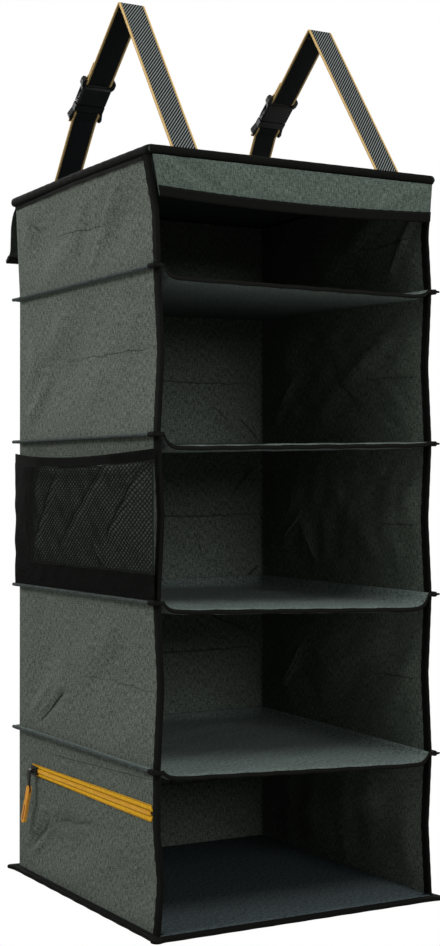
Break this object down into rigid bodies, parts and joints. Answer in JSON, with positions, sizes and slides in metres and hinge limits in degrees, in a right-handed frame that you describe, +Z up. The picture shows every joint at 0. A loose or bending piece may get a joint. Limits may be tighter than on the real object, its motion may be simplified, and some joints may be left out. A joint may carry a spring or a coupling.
{
  "type": "hanging tent organizer",
  "caption": "Soft organizer that hangs from buckled straps in a tent: stacked open compartments with a mesh pocket, a zip pocket and a rear flap.",
  "frame": {"origin": "hang point, midway between the folds of the two straps", "axes": "+Z up, +X to the right of someone who looks into the open front, +Y to the rear"},
  "size_m": [0.3222, 0.3738, 0.8711],
  "materials": {
    "wall_cloth": "plain-woven polyester cloth, matt",
    "inner_cloth": "dark plain-woven cloth, matt",
    "shelf_cloth": "plain-woven cloth over a board, matt",
    "stiffener": "hollow-core plastic board, matt",
    "binding_tape": "ribbed black tape, matt",
    "webbing": "diagonal-woven webbing with coloured edges",
    "buckle_plastic": "moulded acetal, half gloss",
    "mesh_net": "knitted diamond net",
    "zip_tape": "woven zip tape, matt",
    "zip_metal": "black lacquered casting",
    "puller_plastic": "moulded soft plastic, half matt"
  },
  "bodies": {
    "top": {"top_cover": "shelf_cloth", "top_board": "stiffener", "top_rim": "binding_tape", "header_panel": "wall_cloth", "header_binding": "binding_tape", "wall_1": "wall_cloth", "left_edge_binding_1": "binding_tape", "right_edge_binding_1": "binding_tape", "strap_left_front": "webbing", "strap_right_front": "webbing", "strap_left_lower": "webbing", "strap_right_lower": "webbing", "buckle_clip_left": "buckle_plastic", "buckle_clip_right": "buckle_plastic"},
    "strap_left": {"strap_left_upper": "webbing", "buckle_socket_left": "buckle_plastic"},
    "strap_right": {"strap_right_upper": "webbing", "buckle_socket_right": "buckle_plastic"},
    "rear_flap": {"rear_flap": "inner_cloth", "rear_flap_binding": "binding_tape"},
    "shelf_1": {"shelf_cover_1": "shelf_cloth", "shelf_board_1": "stiffener", "shelf_binding_1": "binding_tape", "wall_2": "wall_cloth", "left_edge_binding_2": "binding_tape", "right_edge_binding_2": "binding_tape"},
    "shelf_2": {"shelf_cover_2": "shelf_cloth", "shelf_board_2": "stiffener", "shelf_binding_2": "binding_tape", "wall_3": "wall_cloth", "left_edge_binding_3": "binding_tape", "right_edge_binding_3": "binding_tape", "mesh_pocket_net": "mesh_net", "mesh_pocket_border": "binding_tape", "mesh_pocket_band": "binding_tape"},
    "shelf_3": {"shelf_cover_3": "shelf_cloth", "shelf_board_3": "stiffener", "shelf_binding_3": "binding_tape", "wall_4": "wall_cloth", "left_edge_binding_4": "binding_tape", "right_edge_binding_4": "binding_tape"},
    "shelf_4": {"shelf_cover_4": "shelf_cloth", "shelf_board_4": "stiffener", "shelf_binding_4": "binding_tape", "wall_5": "wall_cloth", "left_edge_binding_5": "binding_tape", "right_edge_binding_5": "binding_tape", "zip_tape_upper": "zip_tape", "zip_tape_lower": "zip_tape", "zip_pocket_bag": "inner_cloth"},
    "base": {"base_cover": "shelf_cloth", "base_board": "stiffener", "base_binding": "binding_tape"},
    "zip_chain": {"zip_chain": "zip_tape"},
    "zip_slider": {"zip_slider": "zip_metal"},
    "zip_pull_tab": {"zip_pull_tab": "zip_metal"},
    "zip_puller": {"zip_puller": "puller_plastic"}
  },
  "joints": [
    {"name": "collapse_1", "type": "slide", "parent": "top", "child": "shelf_1", "axis": [0, 0, 1], "range_m": [0, 0.085], "deforming": ["wall_1", "left_edge_binding_1", "right_edge_binding_1"]},
    {"name": "collapse_2", "type": "slide", "parent": "shelf_1", "child": "shelf_2", "axis": [0, 0, 1], "range_m": [0, 0.128], "deforming": ["wall_2", "left_edge_binding_2", "right_edge_binding_2"]},
    {"name": "collapse_3", "type": "slide", "parent": "shelf_2", "child": "shelf_3", "axis": [0, 0, 1], "range_m": [0, 0.128], "deforming": ["wall_3", "left_edge_binding_3", "right_edge_binding_3", "mesh_pocket_net", "mesh_pocket_border", "mesh_pocket_band"]},
    {"name": "collapse_4", "type": "slide", "parent": "shelf_3", "child": "shelf_4", "axis": [0, 0, 1], "range_m": [0, 0.128], "deforming": ["wall_4", "left_edge_binding_4", "right_edge_binding_4"]},
    {"name": "collapse_5", "type": "slide", "parent": "shelf_4", "child": "base", "axis": [0, 0, 1], "range_m": [0, 0.123], "deforming": ["wall_5", "left_edge_binding_5", "right_edge_binding_5", "zip_tape_upper", "zip_tape_lower", "zip_pocket_bag"]},
    {"name": "zip_rise", "type": "slide", "parent": "shelf_4", "child": "zip_chain", "axis": [0, 0, 1], "range_m": [0, 0.0278]},
    {"name": "zip_slide", "type": "slide", "parent": "zip_chain", "child": "zip_slider", "axis": [0, -1, 0], "range_m": [0, 0.24], "deforming": ["zip_chain"]},
    {"name": "tab_lift", "type": "hinge", "parent": "zip_slider", "child": "zip_pull_tab", "pos_m": [-0.1566, 0.15325, -0.7532], "axis": [0, 1, 0], "range_deg": [0, 110]},
    {"name": "puller_swing", "type": "hinge", "parent": "zip_pull_tab", "child": "zip_puller", "pos_m": [-0.1592, 0.15325, -0.7717], "axis": [1, 0, 0], "range_deg": [-80, 35]},
    {"name": "flap_lift", "type": "hinge", "parent": "top", "child": "rear_flap", "pos_m": [0, 0.2091, -0.16275], "axis": [1, 0, 0], "range_deg": [0, 95]},
    {"name": "buckle_left", "type": "slide", "parent": "top", "child": "strap_left", "axis": [0, -0.7595, 0.6505], "range_m": [0, 0.03], "deforming": ["buckle_clip_left", "strap_left_front"]},
    {"name": "buckle_right", "type": "slide", "parent": "top", "child": "strap_right", "axis": [0, -0.7779, 0.6283], "range_m": [0, 0.03], "deforming": ["buckle_clip_right", "strap_right_front"]}
  ],
  "couplings": [
    {"joint": "zip_rise", "follows": "collapse_5", "ratio": 0.224}
  ]
}
